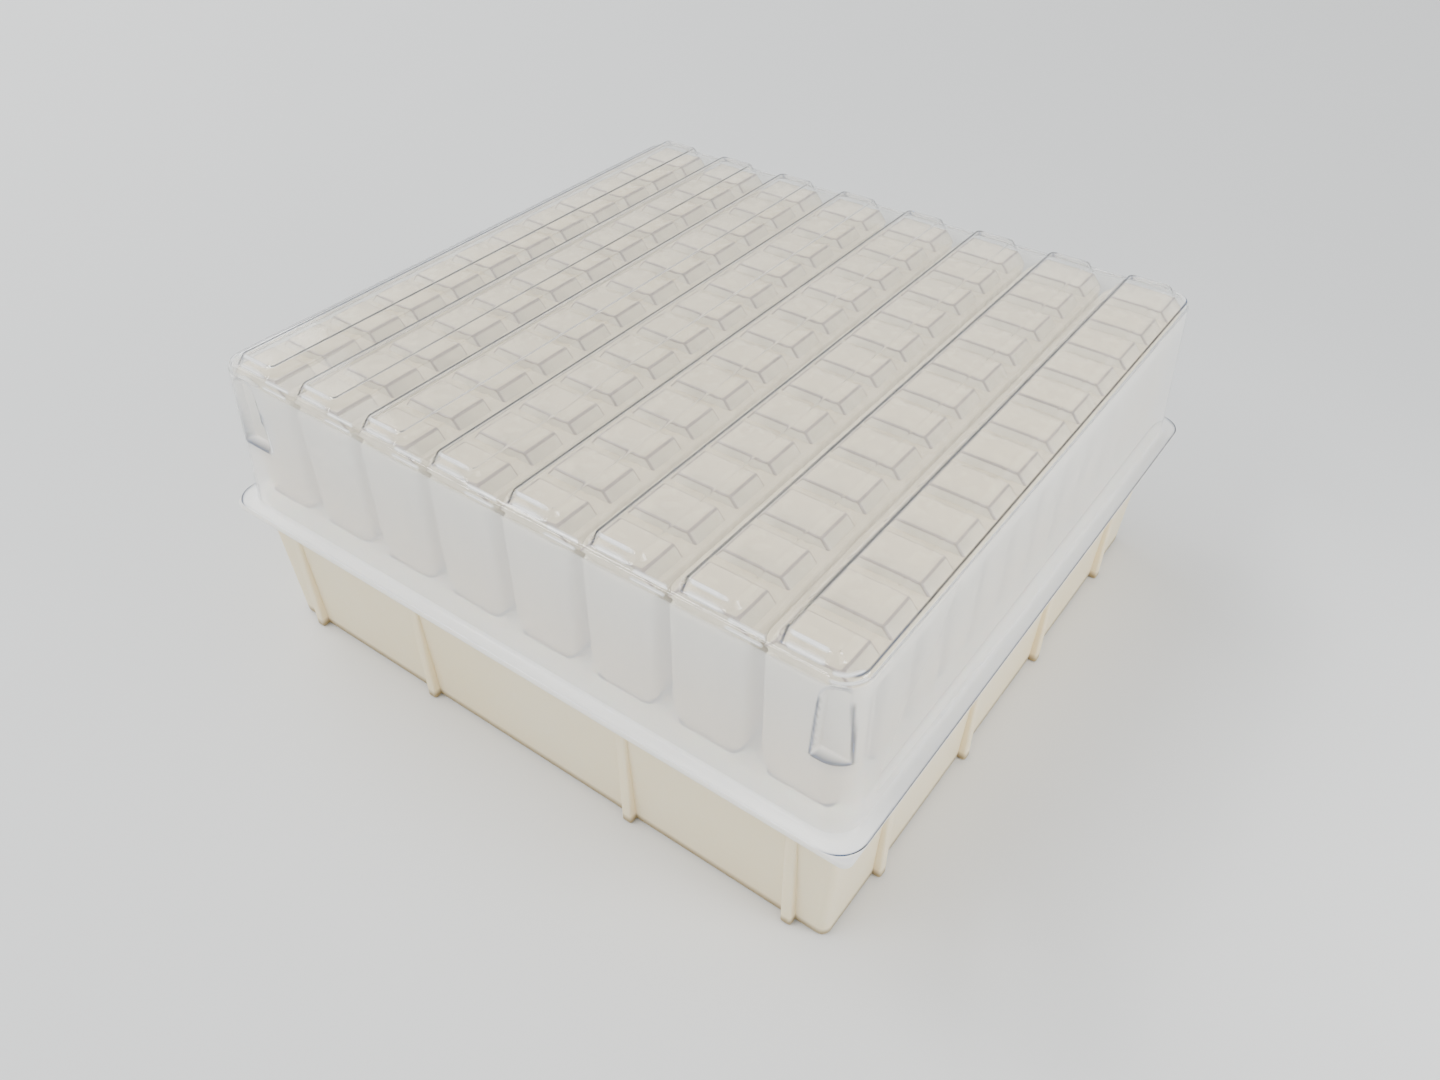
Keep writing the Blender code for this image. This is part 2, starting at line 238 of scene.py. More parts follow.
class Shader:
    """A node material around one Principled shader, with short calls for its pattern nodes."""

    def __init__(self, name):
        self.mat = bpy.data.materials.new(name)
        self.mat.use_nodes = True
        self.tree = self.mat.node_tree
        self.main = self.tree.nodes["Principled BSDF"]
        self.output = self.tree.nodes["Material Output"]

    def node(self, kind, **values):
        n = self.tree.nodes.new(kind)
        for key, value in values.items():
            setattr(n, key, value)
        return n

    def link(self, source, target):
        self.tree.links.new(source, target)

    def set(self, **values):
        for key, value in values.items():
            self.main.inputs[key.replace("_", " ")].default_value = value

    def position(self):
        return self.node("ShaderNodeTexCoord").outputs["Object"]

    def noise(self, scale, detail=3.0, roughness=0.5, stretch=(1.0, 1.0, 1.0)):
        mapping = self.node("ShaderNodeMapping")
        mapping.inputs["Scale"].default_value = stretch
        self.link(self.position(), mapping.inputs["Vector"])
        tex = self.node("ShaderNodeTexNoise")
        tex.inputs["Scale"].default_value = scale
        tex.inputs["Detail"].default_value = detail
        tex.inputs["Roughness"].default_value = roughness
        self.link(mapping.outputs["Vector"], tex.inputs["Vector"])
        return tex.outputs["Fac"]

    def ramp(self, factor, stops):
        ramp = self.node("ShaderNodeValToRGB")
        elements = ramp.color_ramp.elements
        while len(elements) < len(stops):
            elements.new(0.5)
        for element, (at, color) in zip(elements, stops):
            element.position = at
            element.color = (*color, 1.0)
        self.link(factor, ramp.inputs["Fac"])
        return ramp.outputs["Color"]

    def span(self, factor, low, high, to_low, to_high):
        node = self.node("ShaderNodeMapRange")
        node.inputs["From Min"].default_value = low
        node.inputs["From Max"].default_value = high
        node.inputs["To Min"].default_value = to_low
        node.inputs["To Max"].default_value = to_high
        self.link(factor, node.inputs["Value"])
        return node.outputs["Result"]

    def mix(self, factor, a, b):
        """Colour a where factor is 0, colour b where it is 1. A factor or colour may be a socket."""
        node = self.node("ShaderNodeMix", data_type="RGBA")
        for value, socket in ((factor, node.inputs[0]), (a, node.inputs[6]), (b, node.inputs[7])):
            if isinstance(value, (tuple, float)):
                socket.default_value = (*value, 1.0) if isinstance(value, tuple) else value
            else:
                self.link(value, socket)
        return node.outputs[2]

    def height(self):
        split = self.node("ShaderNodeSeparateXYZ")
        self.link(self.position(), split.inputs["Vector"])
        return split.outputs["Z"]

    def bump(self, factor, strength, distance):
        node = self.node("ShaderNodeBump")
        node.inputs["Strength"].default_value = strength
        node.inputs["Distance"].default_value = distance
        self.link(factor, node.inputs["Height"])
        self.link(node.outputs["Normal"], self.main.inputs["Normal"])


def cream_plastic():
    """Moulded cream polypropylene: soft mottling, a fine matte grain, a little light inside.

    The rim is paler, painted light where the lid's clear flange lies over it, and the lowest one or two
    millimetres are a painted brown shadow where the tub stands on the bench.
    """
    s = Shader("cream_plastic")
    mottle = s.ramp(s.noise(38.0, 4.0, 0.55), [(0.3, (0.90, 0.745, 0.48)), (0.7, (0.93, 0.785, 0.54))])
    flow = s.noise(14.0, 3.0, 0.5, (1.0, 1.0, 0.15))
    cream = s.mix(s.span(flow, 0.35, 0.65, 0.0, 0.22), mottle, (0.95, 0.88, 0.72))
    # painted light: the rim turns paler where the lid's clear flange lies over it
    rim_lit = s.mix(s.span(s.height(), *TUB_RIM_LIGHT_HEIGHTS, 0.0, 0.75), cream, (0.95, 0.95, 0.94))
    # painted shadow: the lowest millimetres turn brown where the tub stands on the bench
    s.link(s.mix(s.span(s.height(), *TUB_FOOT_SHADOW_HEIGHTS, 0.9, 0.0), rim_lit, (0.30, 0.22, 0.10)),
           s.main.inputs["Base Color"])
    s.link(s.span(s.noise(900.0, 2.0), 0.3, 0.7, 0.42, 0.56), s.main.inputs["Roughness"])
    s.bump(s.noise(2600.0, 2.0, 0.6), 0.10, 0.00015)
    s.set(Subsurface_Weight=0.35, Subsurface_Scale=0.004)
    s.main.inputs["Subsurface Radius"].default_value = (1.0, 0.8, 0.55)
    return s.mat


def white_plastic():
    """The rack plate's paler polypropylene."""
    s = Shader("white_plastic")
    s.link(s.ramp(s.noise(45.0, 4.0), [(0.3, (0.92, 0.85, 0.70)), (0.7, (0.95, 0.89, 0.76))]),
           s.main.inputs["Base Color"])
    s.link(s.span(s.noise(800.0, 2.0), 0.3, 0.7, 0.40, 0.52), s.main.inputs["Roughness"])
    s.bump(s.noise(2400.0, 2.0, 0.6), 0.10, 0.00015)
    s.set(Subsurface_Weight=0.3, Subsurface_Scale=0.003)
    return s.mat


def milky_plastic(name, low, high, roughness, alpha, foot=None, painted_side_light=None):
    """Thin translucent polypropylene of the tubes and caps, with soft cloudy streaks.

    foot is a warmer colour for the lower part, painted light for the cream light that the tub casts up on
    it, and the side colour is a paler one for the upright faces, painted light that makes up for the
    shade on them; it fades in over the sloped ones.
    """
    s = Shader(name)
    cloud = s.noise(60.0, 4.0, 0.55, (1.0, 1.0, 0.35))
    color = s.ramp(cloud, [(0.32, low), (0.68, high)])
    # painted light: the lower part turns warmer, for the cream light the tub casts up on it
    if foot:
        color = s.mix(s.span(s.height(), *TUBE_BOUNCE_LIGHT_HEIGHTS, 1.0, 0.0), color, foot)
    # painted light: upright faces take a paler colour, to make up for the shade on them
    if painted_side_light:
        split = s.node("ShaderNodeSeparateXYZ")
        s.link(s.node("ShaderNodeNewGeometry").outputs["Normal"], split.inputs["Vector"])
        slope = s.node("ShaderNodeMath", operation="ABSOLUTE")
        s.link(split.outputs["Z"], slope.inputs[0])
        color = s.mix(s.span(slope.outputs["Value"], 0.5, 0.8, 1.0, 0.0), color, painted_side_light)
    s.link(color, s.main.inputs["Base Color"])
    s.link(s.span(s.noise(500.0, 2.0), 0.3, 0.7, roughness - 0.05, roughness + 0.07),
           s.main.inputs["Roughness"])
    s.bump(s.noise(420.0, 3.0, 0.5), 0.08, 0.0002)
    s.set(Alpha=alpha)
    return s.mat


def clear_sheet():
    """Clear formed sheet: faint waviness, hazier walls, painted dark blue shade lines along its folds and
    painted highlights at some of them.
    """
    s = Shader("clear_sheet_look")
    haze_and_highlight = s.node("ShaderNodeAttribute", attribute_name="haze_and_highlight")
    clear = s.span(haze_and_highlight.outputs["Fac"], 0.0, 1.0, 1.0, 0.0)
    s.link(clear, s.main.inputs["Transmission Weight"])
    s.link(s.span(s.noise(120.0, 3.0), 0.35, 0.75, 0.015, 0.07), s.main.inputs["Roughness"])
    s.link(s.ramp(s.noise(20.0, 2.0), [(0.3, (0.965, 0.965, 0.95)), (0.7, (0.985, 0.985, 0.975))]),
           s.main.inputs["Base Color"])
    s.bump(s.noise(55.0, 2.0, 0.4), 0.05, 0.001)
    s.set(IOR=1.45)
    # painted shade: the sheet darkens towards where it is seen edge-on and along the painted shade lines
    # of its folds, by a dark blue transparent shader mixed in
    facing = s.node("ShaderNodeLayerWeight")
    facing.inputs["Blend"].default_value = 0.5
    edge = s.span(facing.outputs["Facing"], 0.84, 1.0, 0.0, 0.35)
    line = s.node("ShaderNodeAttribute", attribute_name="painted_shade_line")
    dark = s.node("ShaderNodeMath", operation="MAXIMUM")
    s.link(edge, dark.inputs[0])
    s.link(line.outputs["Fac"], dark.inputs[1])
    shade = s.node("ShaderNodeBsdfTransparent")
    shade.inputs["Color"].default_value = (0.03, 0.08, 0.22, 1.0)
    lined = s.node("ShaderNodeMixShader")
    s.link(dark.outputs["Value"], lined.inputs["Fac"])
    s.link(s.main.outputs["BSDF"], lined.inputs[1])
    s.link(shade.outputs["BSDF"], lined.inputs[2])
    rays = s.node("ShaderNodeLightPath")
    open_light = s.node("ShaderNodeBsdfTransparent")
    open_light.inputs["Color"].default_value = (0.97, 0.975, 0.98, 1.0)
    both = s.node("ShaderNodeMixShader")
    s.link(rays.outputs["Is Shadow Ray"], both.inputs["Fac"])
    s.link(lined.outputs["Shader"], both.inputs[1])
    s.link(open_light.outputs["BSDF"], both.inputs[2])
    s.link(both.outputs["Shader"], s.output.inputs["Surface"])
    return s.mat


def bench_top():
    """Pale laminate with a faint unevenness."""
    s = Shader("bench_top")
    s.link(s.ramp(s.noise(3.0, 4.0), [(0.3, (0.765, 0.775, 0.77)), (0.7, (0.785, 0.795, 0.79))]),
           s.main.inputs["Base Color"])
    s.link(s.span(s.noise(30.0, 3.0), 0.3, 0.7, 0.45, 0.55), s.main.inputs["Roughness"])
    s.bump(s.noise(700.0, 2.0), 0.04, 0.0002)
    return s.mat


# ---------------------------------------------------------------- lid

def ridge_height(x, y):
    """Height over the valley plane at a point of the lid's top: eight long ridges with soft edges."""
    inside = inset(RIDGE_HALF_X - abs(from_row_middle(x)), RIDGE_HALF_Y - abs(y), RIDGE_CORNER_R)
    return (RIDGE_Z - VALLEY_Z) * smooth(inside / RIDGE_RAMP + 0.5)


def ridge_shade_line(x, y):
    """Painted shade at a point of the top: a thin dark line along each ridge's -X shoulder."""
    across = from_row_middle(x) + RIDGE_HALF_X
    if not 0.0 < across < 1.5 or abs(y) > RIDGE_HALF_Y + 0.6:
        return 0.0
    near_end = smooth((abs(y) - RIDGE_HALF_Y + 1.6) / 1.0)
    return (0.27 + 0.55 * near_end) * band(across - 0.75, 0.3, 0.2)


def painted_fold_highlight(x, y, drop):
    """Painted highlight along the front and back folds, where the ridges and valleys end, made by
    clouding the sheet white there.
    """
    if abs(y) < LID_TOP_Y / 2 - 3.5:
        return 0.0
    across = from_row_middle(x)
    on_ridge = smooth((across + RIDGE_HALF_X - 1.2) / 0.5) * smooth((RIDGE_HALF_X - 1.5 - across) / 1.0)
    in_valley = smooth((across - RIDGE_HALF_X + 0.5) / 0.5) + smooth((-RIDGE_HALF_X - 1.2 - across) / 0.5)
    upper_end = band(RIDGE_HALF_Y - 0.55 - abs(y), 0.28, 0.15)
    lower_end = band(RIDGE_HALF_Y + 0.55 - abs(y), 0.28, 0.15)
    fold = max(band(drop - 0.11, 0.12, 0.1), band(drop - 0.92, 0.22, 0.1))
    return max(on_ridge * max(upper_end, lower_end), in_valley * fold)


def side_fold_shade_line(x, y, drop):
    """Painted shade lines along the rounded side edges: a strong upper one and a faint lower one."""
    on_side = smooth((abs(x) - 62.3) / 0.8) * smooth((61.0 - abs(y)) / 2.0)
    upper = band(drop - 0.25, 0.13, 0.08)
    lower = 0.30 * band(drop - 1.20, 0.12, 0.08)
    return on_side * max(upper, lower)


def flange_rim_shade_and_highlight(x, y):
    """The painted shade line and the haziness of the flange's rim: painted dark shade at the left and
    right, and a painted highlight as more haziness front and back.
    """
    at_side = smooth((abs(x) - FLANGE_X / 2 + 6.0) / 4.0)
    at_corner = at_side * smooth((abs(y) - FLANGE_Y / 2 + 5.5) / 2.0)
    return (0.65 + 0.35 * at_corner) * at_side, FLANGE_HAZE + 0.45 * (1.0 - at_side)


def dent_half_width(z):
    """Half the width of a stacking dent, which widens a little downwards."""
    return DENT_HALF_W + 0.04 * ((DENT_Z0 + DENT_Z1) / 2 - z)


def wraps_corner(dent_x, along):
    return abs(dent_x) > CORNER_DENT_X and along > 0


def dent_shade_line(x, y, z):
    """Painted dark shade outline round the stacking dents, but not along their arched upper end."""
    side = 1.0 if y > 0 else -1.0
    mark = 0.0
    for dent_x in FRONT_DENTS:
        along = -side * x - dent_x
        half_w = dent_half_width(z)
        if abs(along) > DENT_HALF_W + 1.5 or not DENT_Z0 - 1.0 < z < DENT_Z1:
            continue
        wraps = wraps_corner(dent_x, along)
        if wraps:
            upright = band(abs(y) - DENT_BACK_Y + 0.1, 0.45, 0.25) * smooth(along - 0.5)
        else:
            upright = band(abs(along) - half_w - 0.3, 0.22, 0.16)
        upright *= smooth((z - DENT_Z0 + 0.4) / 0.4) * smooth((DENT_Z1 - 1.5 - z) / 1.5)
        sill = band(z - DENT_Z0 + 0.2, 0.30, 0.2) * smooth((abs(y) - DENT_BACK_Y + 0.3) / 0.3)
        sill *= smooth((half_w + 0.3 + (1.2 if wraps else 0.0) - abs(along)) / 0.4)
        mark = max(mark, 0.65 * upright, 0.65 * sill)
    return mark


def dent_shift(x, y, z):
    """The Y of a wall point after the stacking dents are pressed in."""
    side = 1.0 if y > 0 else -1.0
    for dent_x in FRONT_DENTS:
        along = -side * x - dent_x
        half_w = dent_half_width(z)
        inside_x = half_w + along if wraps_corner(dent_x, along) else half_w - abs(along)
        corner_r = 2.2 if z > (DENT_Z0 + DENT_Z1) / 2 else 0.6
        inside = inset(inside_x, min(z - DENT_Z0, DENT_Z1 - z), corner_r)
        pressed = smooth(inside / 0.6 + 0.5)
        y = side * (abs(y) + pressed * (min(abs(y), DENT_BACK_Y) - abs(y)))
    return y


def lid_columns():
    """X values of the front straight, fine at the ridge flanks, and Y values of the side straight."""
    reach = LID_TOP_X / 2 + LID_SLOPE * LID_EDGE_R - LID_CORNER_R
    offsets = [-8.0, -7.0, -6.2] + [-5.7 + 0.25 * i for i in range(10)] + [-2.6, -1.3]
    offsets = offsets + [0.0] + [-o for o in reversed(offsets) if o > -8.0]
    xs = {round(row_x(r) + o, 4) for r in range(ROWS) for o in offsets}
    xs |= {s * v for s in (-1, 1) for v in (54.5, 54.8, 55.0, 55.2, 55.4)}
    xs |= {s * round(57.9 + 0.15 * i, 4) for s in (-1, 1) for i in range(12)}
    xs = sorted(x for x in xs if abs(x) < reach - 0.15)
    half_y = LID_TOP_Y / 2 + LID_SLOPE * LID_EDGE_R - LID_CORNER_R
    ys = [-half_y + 2 * half_y * i / SIDE_STEPS for i in range(SIDE_STEPS + 1)]
    return [-reach] + xs + [reach], ys


def loop_points(half_x, half_y, radius, xs, ys):
    """One closed loop round a rounded rectangle, from the front left, anticlockwise seen from above."""
    kx = (half_x - radius) / xs[-1]
    ky = (half_y - radius) / ys[-1]
    points = [(x * kx, -half_y) for x in xs]
    corners = ((1, -1, -90.0), (1, 1, 0.0), (-1, 1, 90.0), (-1, -1, 180.0))
    straights = ([(half_x, y * ky) for y in ys],
                 [(x * kx, half_y) for x in reversed(xs)],
                 [(-half_x, y * ky) for y in reversed(ys)], [])
    for (sx, sy, start), straight in zip(corners, straights):
        for i in range(1, CORNER_STEPS):
            t = math.radians(start + 90.0 * i / CORNER_STEPS)
            points.append((sx * (half_x - radius) + radius * math.cos(t),
                           sy * (half_y - radius) + radius * math.sin(t)))
        points.extend(straight)
    return points


def lid_wall_levels():
    """Heights of the wall loops from the top fillet down, close together at the dents' ends."""
    levels = [DENT_Z1 + 0.25 - 0.25 * i for i in range(14)]
    levels += [53.4 - 1.5 * i for i in range(6)]
    levels += [DENT_Z0 + 0.9 - 0.15 * i for i in range(10)]
    levels += [42.0, 39.0, 36.0, 33.0, FLANGE_TOP_Z + ROOT_R]
    return levels


def build_lid(mat):
    """The lid as one formed skin, then thickened inwards."""
    xs, ys = lid_columns()
    top_x = LID_TOP_X / 2 + LID_SLOPE * LID_EDGE_R
    top_y = LID_TOP_Y / 2 + LID_SLOPE * LID_EDGE_R
    bm = bmesh.new()
    # the painted shade lines of the sheet, kept per vertex
    line = bm.verts.layers.float.new("painted_shade_line")
    # the sheet's haze per vertex, which also carries the painted fold and rim highlights
    cloudy = bm.verts.layers.float.new("haze_and_highlight")

    def vert(x, y, z, mark, haze_and_highlight):
        v = bm.verts.new((x * MM, y * MM, z * MM))
        v[line] = mark
        v[cloudy] = haze_and_highlight
        return v

    grid = [[vert(x, y, VALLEY_Z + ridge_height(x, y), ridge_shade_line(x, y), TOP_HAZE) for y in ys]
            for x in xs]
    for i in range(len(xs) - 1):
        for j in range(len(ys) - 1):
            bm.faces.new((grid[i][j], grid[i + 1][j], grid[i + 1][j + 1], grid[i][j + 1]))
    nx, ny = len(xs), len(ys)
    inner = [grid[i][0] for i in range(nx)] + [grid[-1][0]] * (CORNER_STEPS - 1)
    inner += [grid[-1][j] for j in range(ny)] + [grid[-1][-1]] * (CORNER_STEPS - 1)
    inner += [grid[i][-1] for i in reversed(range(nx))] + [grid[0][-1]] * (CORNER_STEPS - 1)
    inner += [grid[0][j] for j in reversed(range(ny))] + [grid[0][0]] * (CORNER_STEPS - 1)

    rings = []
    flats = [LID_CORNER_R - 0.35 - 0.25 * i for i in range(12)]
    flats = [d for d in flats if d > LID_EDGE_R + 0.08]
    arcs = [LID_EDGE_R * (1.0 - math.sin(math.radians(90.0 * i / FILLET_STEPS)))
            for i in range(FILLET_STEPS + 1)]
    for d in flats + arcs:
        rest = max(0.0, LID_EDGE_R - d)
        drop = LID_EDGE_R - math.sqrt(max(0.0, LID_EDGE_R ** 2 - rest ** 2))
        ring = []
        for x, y in loop_points(top_x - d, top_y - d, LID_CORNER_R - d, xs, ys):
            # the fillet rings carry the painted shade lines and the painted fold highlights
            mark = max(side_fold_shade_line(x, y, drop), ridge_shade_line(x, y))
            ring.append(vert(x, y, VALLEY_Z + ridge_height(x, y) - drop, mark,
                             max(TOP_HAZE, painted_fold_highlight(x, y, drop))))
        rings.append(ring)
    for z in lid_wall_levels():
        grow = LID_SLOPE * (VALLEY_Z - z)
        half_x, half_y = LID_TOP_X / 2 + grow, LID_TOP_Y / 2 + grow
        ring = []
        for x, y in loop_points(half_x, half_y, LID_CORNER_R, xs, ys):
            ring.append(vert(x, dent_shift(x, y, z), z, dent_shade_line(x, y, z), WALL_HAZE))
        rings.append(ring)
    foot = LID_SLOPE * (VALLEY_Z - FLANGE_TOP_Z - ROOT_R)
    foot_x, foot_y = LID_TOP_X / 2 + foot, LID_TOP_Y / 2 + foot
    for angle in (22.5, 45.0, 67.5, 90.0):
        t = math.radians(angle)
        out = ROOT_R * (1.0 - math.cos(t))
        z = FLANGE_TOP_Z + ROOT_R * (1.0 - math.sin(t))
        rings.append([vert(x, y, z, 0.0, FLANGE_HAZE) for x, y in
                      loop_points(foot_x + out, foot_y + out, LID_CORNER_R, xs, ys)])
    for share in (0.5, 0.85, 0.97, 1.0):
        half_x = foot_x + ROOT_R + share * (FLANGE_X / 2 - foot_x - ROOT_R)
        half_y = foot_y + ROOT_R + share * (FLANGE_Y / 2 - foot_y - ROOT_R)
        radius = LID_CORNER_R + share * (FLANGE_CORNER_R - LID_CORNER_R)
        z = FLANGE_TOP_Z - (0.06 if share == 1.0 else 0.0)
        ring = []
        for x, y in loop_points(half_x, half_y, radius, xs, ys):
            mark, haze_and_highlight = flange_rim_shade_and_highlight(x, y) if share > 0.9 else (0.0, FLANGE_HAZE)
            ring.append(vert(x, y, z, mark, haze_and_highlight))
        rings.append(ring)
    previous = inner
    for ring in rings:
        count = len(ring)
        for k in range(count):
            a, b = previous[k], previous[(k + 1) % count]
            c, d = ring[(k + 1) % count], ring[k]
            bm.faces.new((a, d, c) if a is b else (a, d, c, b))
        previous = ring
    bmesh.ops.recalc_face_normals(bm, faces=bm.faces)
    skin = new_object("lid_skin", bm, [mat])
    thick = skin.modifiers.new("thickness", "SOLIDIFY")
    thick.thickness = LID_SKIN * MM
    thick.offset = -1.0
    thick.use_even_offset = True
    thick.use_quality_normals = True
    outer_count, rim_count = len(skin.data.vertices), len(rings[-1])
    lid = combine("clear_lid_shell", skin, [])
    # The inner skin's copies of the painted shade marks are cleared, all but those of the flange's two
    # rim rings.
    marks = lid.data.attributes["painted_shade_line"].data
    for index in range(outer_count, 2 * outer_count - 2 * rim_count):
        marks[index].value = 0.0
    lid.data.set_sharp_from_angle(angle=math.radians(LID_SHARP_ANGLE))
    return lid


# ---------------------------------------------------------------- tub and rack

def build_tub(mat):
    wall = bmesh.new()
    rounded_block(wall, (0, 0), (TUB_FOOT_X, TUB_FOOT_Y), (TUB_TOP_X, TUB_TOP_Y), 0.0, LEDGE_Z1 - 0.02,
                  TUB_CORNER_R, 0.35, 8)
    wall = new_object("tub_wall", wall)
    ledge = bmesh.new()
    rounded_block(ledge, (0, 0), (LEDGE_X, LEDGE_Y), (LEDGE_X, LEDGE_Y), LEDGE_Z0, LEDGE_Z1,
                  LEDGE_CORNER_R, 0.3, 6)
    ledge = new_object("tub_ledge", ledge)
    ribs = bmesh.new()
    rib_top = LEDGE_Z0 + OVERLAP
    places = [((x, side * (RIB_Y / 2 - RIB_DEPTH / 2)), (RIB_W, RIB_DEPTH))
              for x in FRONT_RIBS for side in (-1, 1)]
    places += [((side * (RIB_X / 2 - RIB_DEPTH / 2), y), (RIB_DEPTH, RIB_W))
               for y in SIDE_RIBS for side in (-1, 1)]
    for center, size in places:
        rounded_block(ribs, center, size, size, 0.0, rib_top, 0.45, 0.3, 4)
    ribs = new_object("tub_ribs", ribs)
    slope = (TUB_TOP_X - TUB_FOOT_X) / LEDGE_Z1
    hollow = bmesh.new()
    rounded_block(hollow, (0, 0),
                  (TUB_FOOT_X - 2 * TUB_WALL + slope * TUB_FLOOR,
                   TUB_FOOT_Y - 2 * TUB_WALL + slope * TUB_FLOOR),
                  (TUB_TOP_X - 2 * TUB_WALL + slope, TUB_TOP_Y - 2 * TUB_WALL + slope),
                  TUB_FLOOR, LEDGE_Z1 + 1.0, TUB_CORNER_R - TUB_WALL + 1.0, 0.5, 8)
    hollow = new_object("tub_hollow", hollow)
    tub = combine("cream_tub", wall, [("UNION", ledge), ("UNION", ribs), ("DIFFERENCE", hollow)])
    use_only(tub, mat)
    return tub


def build_rack(mat):
    plate = bmesh.new()
    rounded_block(plate, (0, 0), (RACK_X, RACK_Y), (RACK_X, RACK_Y), RACK_Z0, RACK_TOP_Z,
                  RACK_CORNER_R, 0.4, 8)
    plate = new_object("rack_blank", plate)
    tabs = bmesh.new()
    inner_x = TUB_TOP_X / 2 - TUB_WALL - TAB_CLEARANCE - TAB_T / 2
    inner_y = TUB_TOP_Y / 2 - TUB_WALL - TAB_CLEARANCE - TAB_T / 2
    for side in (-1, 1):
        places = [((side * inner_x, step * COLUMN_PITCH), (TAB_T, TAB_W)) for step in TAB_COLUMNS]
        places += [((step * ROW_PITCH, side * inner_y), (TAB_W, TAB_T)) for step in TAB_ROWS]
        for center, size in places:
            rounded_block(tabs, center, size, size, RACK_Z0 - TAB_H, RACK_Z0 + 1.0, 0.3, 0.25, 3)
    tabs = new_object("rack_tabs", tabs)
    slots = bmesh.new()
    for row in range(ROWS):
        for column in range(COLUMNS):
            rounded_block(slots, (row_x(row), column_y(column)), (SLOT_X, SLOT_Y),
                          (SLOT_X + 0.4, SLOT_Y + 0.2), RACK_Z0 - 0.6, RACK_TOP_Z + 1.0, 1.3, 0.0, 4)
    slots = new_object("rack_slots", slots)
    rack = combine("rack_deck", plate, [("UNION", tabs), ("DIFFERENCE", slots)])
    use_only(rack, mat)
    return rack


# ---------------------------------------------------------------- tubes and caps

def u_block(bm, center_y, size_x, size_y, z0, z1, bottom_r, segments, corner_r):
    """A block whose lower end is round in the XZ plane, with softened corners along its outline."""
    part = bmesh.new()
    scaled_cube(part, (0, center_y), (size_x, size_y), (size_x, size_y), z0, z1)
    lower = [e for e in part.edges
             if all(abs(v.co.z - z0 * MM) < 1e-7 for v in e.verts)
             and abs(e.verts[0].co.y - e.verts[1].co.y) > 1e-6]
    bevel(part, lower, bottom_r, segments)
    outline = [e for e in part.edges
               if abs(e.verts[0].co.y - e.verts[1].co.y) < 1e-7
               and not all(abs(v.co.z - z1 * MM) < 1e-7 for v in e.verts)]
    bevel(part, outline, corner_r, 3)
    append(bm, part)


def tube_strip_mesh(mat):
    flange = bmesh.new()
    rounded_block(flange, (0, 0), (STRIP_X, STRIP_Y), (STRIP_X, STRIP_Y), STRIP_TOP_Z - STRIP_FLANGE,
                  STRIP_TOP_Z, STRIP_CORNER_R, 0.25, 6)
    flange = new_object("strip_flange", flange)
    outside = bmesh.new()
    inside = bmesh.new()
    for column in range(COLUMNS):
        y = column_y(column)
        u_block(outside, y, TUBE_X, TUBE_Y - 0.02, TUBE_BOTTOM_Z, STRIP_TOP_Z - 0.4,
                TUBE_X / 2 - 0.1, 10, 0.9)
        u_block(inside, y, TUBE_X - 2 * TUBE_WALL, TUBE_Y - 2 * TUBE_WALL, TUBE_BOTTOM_Z + TUBE_WALL,
                STRIP_TOP_Z + 1.0, TUBE_X / 2 - TUBE_WALL - 0.1, 8, 0.5)
    outside = new_object("strip_tubes", outside)
    inside = new_object("strip_hollows", inside)
    strip = combine("tubes_row_a", flange, [("UNION", outside), ("DIFFERENCE", inside)])
    use_only(strip, mat)
    return strip


def cap_block(bm, y, base_z):
    """One raised cap: sloped shoulders along X, soft edges, and edge faces in the second material, which
    paints dark shade lines along them.
    """
    part = bmesh.new()
    slope = (CAP_FOOT_X - CAP_TOP_X) / CAP_BLOCK_H
    size_y = TUBE_Y - 0.02
    scaled_cube(part, (0, y), (CAP_FOOT_X + slope * OVERLAP, size_y), (CAP_TOP_X, size_y),
                base_z - OVERLAP, CAP_TOP_Z)
    edges = [e for e in part.edges
             if not all(abs(v.co.z - (base_z - OVERLAP) * MM) < 1e-7 for v in e.verts)]
    bevel(part, edges, CAP_EDGE_R, CAP_EDGE_SEGMENTS, EDGE_SHADE_SLOT)
    append(bm, part)


def cap_strip_mesh(mat, edge_shade_mat):
    rail_z0 = STRIP_TOP_Z + GAP
    rail_z1 = CAP_TOP_Z - CAP_BLOCK_H
    rail = bmesh.new()
    rounded_block(rail, (0, 0), (STRIP_X, STRIP_Y), (STRIP_X, STRIP_Y), rail_z0, rail_z1,
                  STRIP_CORNER_R, 0.25, 6)
    rail = new_object("cap_rail", rail, [mat, edge_shade_mat])
    tops = bmesh.new()
    plugs = bmesh.new()
    plug = (TUBE_X - 2 * TUBE_WALL - 2 * GAP, TUBE_Y - 2 * TUBE_WALL - 2 * GAP)
    for column in range(COLUMNS):
        cap_block(tops, column_y(column), rail_z1)
        rounded_block(plugs, (0, column_y(column)), (plug[0] - PLUG_TAPER_X, plug[1] - PLUG_TAPER_Y),
                      plug, rail_z0 - PLUG_H, rail_z0 + OVERLAP, 0.5, 0.3, 3)
    tops = new_object("cap_tops", tops, [mat, edge_shade_mat])
    plugs = new_object("cap_plugs", plugs, [mat, edge_shade_mat])
    return combine("caps_row_a", rail, [("UNION", tops), ("UNION", plugs)])


def spread_rows(first, prefix, cad_prefix):
    """Place the first strip in row a and copies of it in the other rows, each for its CAD node."""
    for row, letter in enumerate(ROW_LETTERS):
        obj = first
        if row:
            obj = bpy.data.objects.new(prefix + letter, first.data)
            bpy.context.scene.collection.objects.link(obj)
        obj.location = (row_x(row) * MM, 0.0, 0.0)
        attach(obj, "base")
        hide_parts(cad_prefix + letter)


# ---------------------------------------------------------------- stage

